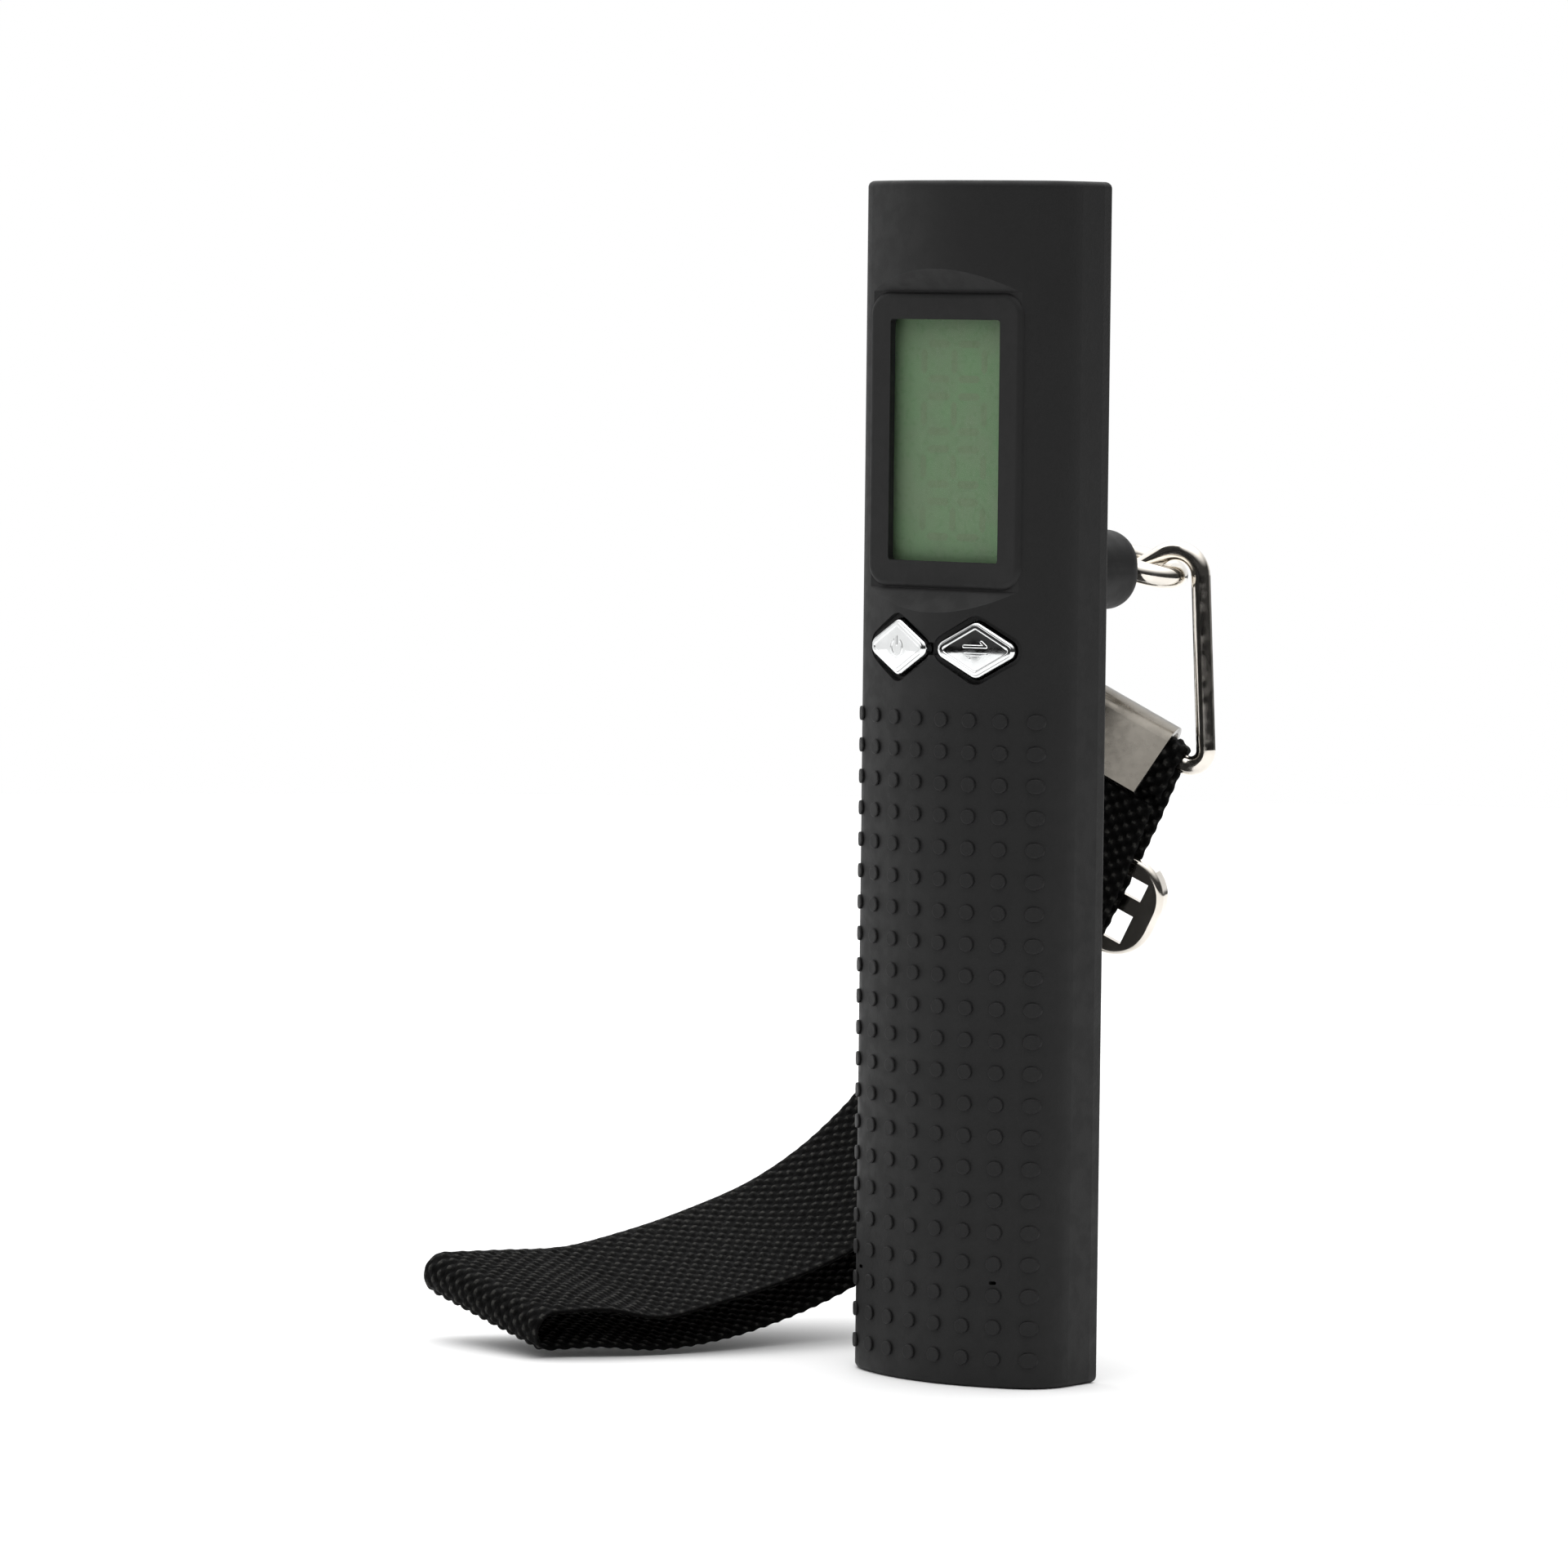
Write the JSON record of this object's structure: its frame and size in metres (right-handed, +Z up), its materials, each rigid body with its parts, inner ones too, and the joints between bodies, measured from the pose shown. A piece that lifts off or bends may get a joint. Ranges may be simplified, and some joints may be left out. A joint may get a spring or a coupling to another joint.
{
  "type": "digital luggage scale",
  "caption": "Hand-held digital hanging scale with a dotted grip, an upright display, two diamond buttons, a swivel eye, a wire ring and a folded webbing strap with slider and hook.",
  "frame": {"origin": "centre of the flat lower end that the body stands on", "axes": "+Z up the body, display and buttons face -Y, neck and strap at +Y"},
  "size_m": [0.0856, 0.0738, 0.151],
  "materials": {
    "body_plastic": "soft-touch black",
    "cover_plastic": "fine-textured black",
    "button_chrome": "bright plated",
    "nickel": "polished nickel plate",
    "webbing": "woven polypropylene",
    "lens": "clear acrylic",
    "display": "green reflective liquid crystal display",
    "holder_plastic": "white moulded",
    "silicone": "conductive rubber",
    "board": "green solder mask",
    "steel": "zinc plated",
    "chip_epoxy": "black epoxy",
    "beam": "machined",
    "foil": "polyimide foil",
    "cell": "stainless can",
    "brass_leaf": "stamped",
    "lead": "insulated wire"
  },
  "bodies": {
    "body": {"front_housing": "body_plastic", "back_cover": "cover_plastic", "lcd_lens": "lens", "lcd_panel": "display", "lcd_holder": "holder_plastic", "zebra_strips": "silicone", "main_board": "board", "board_screws": "steel", "tact_switches": "steel", "controller_chip": "chip_epoxy", "buzzer": "chip_epoxy", "load_cell": "beam", "strain_gauges": "foil", "load_cell_screws": "steel", "case_screws": "steel", "coin_cell": "cell", "battery_contacts": "brass_leaf", "battery_leads": "lead", "neck": "body_plastic", "thrust_washer": "steel"},
    "power_button": {"power_button": "button_chrome"},
    "unit_button": {"unit_button": "button_chrome"},
    "door": {"battery_door": "cover_plastic"},
    "eye": {"swivel_eye": "nickel", "stem_nut": "steel"},
    "ring": {"wire_ring": "nickel"},
    "strap": {"strap": "webbing"},
    "hook": {"strap_hook": "nickel"},
    "slider": {"strap_slider": "nickel"}
  },
  "joints": [
    {"name": "power_press", "type": "slide", "parent": "body", "child": "power_button", "axis": [0.2108, 0.9775, 0], "range_m": [0, 0.0006], "stiffness_N_per_m": 900, "springref_m": -0.0005},
    {"name": "unit_press", "type": "slide", "parent": "body", "child": "unit_button", "axis": [-0.2481, 0.9687, 0], "range_m": [0, 0.0006], "stiffness_N_per_m": 900, "springref_m": -0.0005},
    {"name": "door_hinge", "type": "hinge", "parent": "body", "child": "door", "pos_m": [0, 0.0077, 0.0175], "axis": [-1, 0, 0], "range_deg": [0, 95]},
    {"name": "eye_swivel", "type": "hinge", "parent": "body", "child": "eye", "pos_m": [0, 0.0262, 0.1019], "axis": [0, 1, 0], "range_deg": [-2, 60]},
    {"name": "ring_swing", "type": "hinge", "parent": "eye", "child": "ring", "pos_m": [0.00369, 0.03848, 0.1007], "axis": [-0.4067, 0.9135, 0], "range_deg": [-12, 0]},
    {"name": "strap_swing", "type": "hinge", "parent": "ring", "child": "strap", "pos_m": [-0.00523, 0.03451, 0.08234], "axis": [-0.8065, -0.3591, 0.4698], "range_deg": [-6, 8]},
    {"name": "hook_swing", "type": "hinge", "parent": "strap", "child": "hook", "pos_m": [-0.00523, 0.03451, 0.08234], "axis": [-0.8065, -0.3591, 0.4698], "range_deg": [-22, 6]},
    {"name": "slider_slide", "type": "slide", "parent": "strap", "child": "slider", "axis": [-0.4494, -0.0861, -0.8892], "range_m": [-0.0015, 0.0015]}
  ]
}
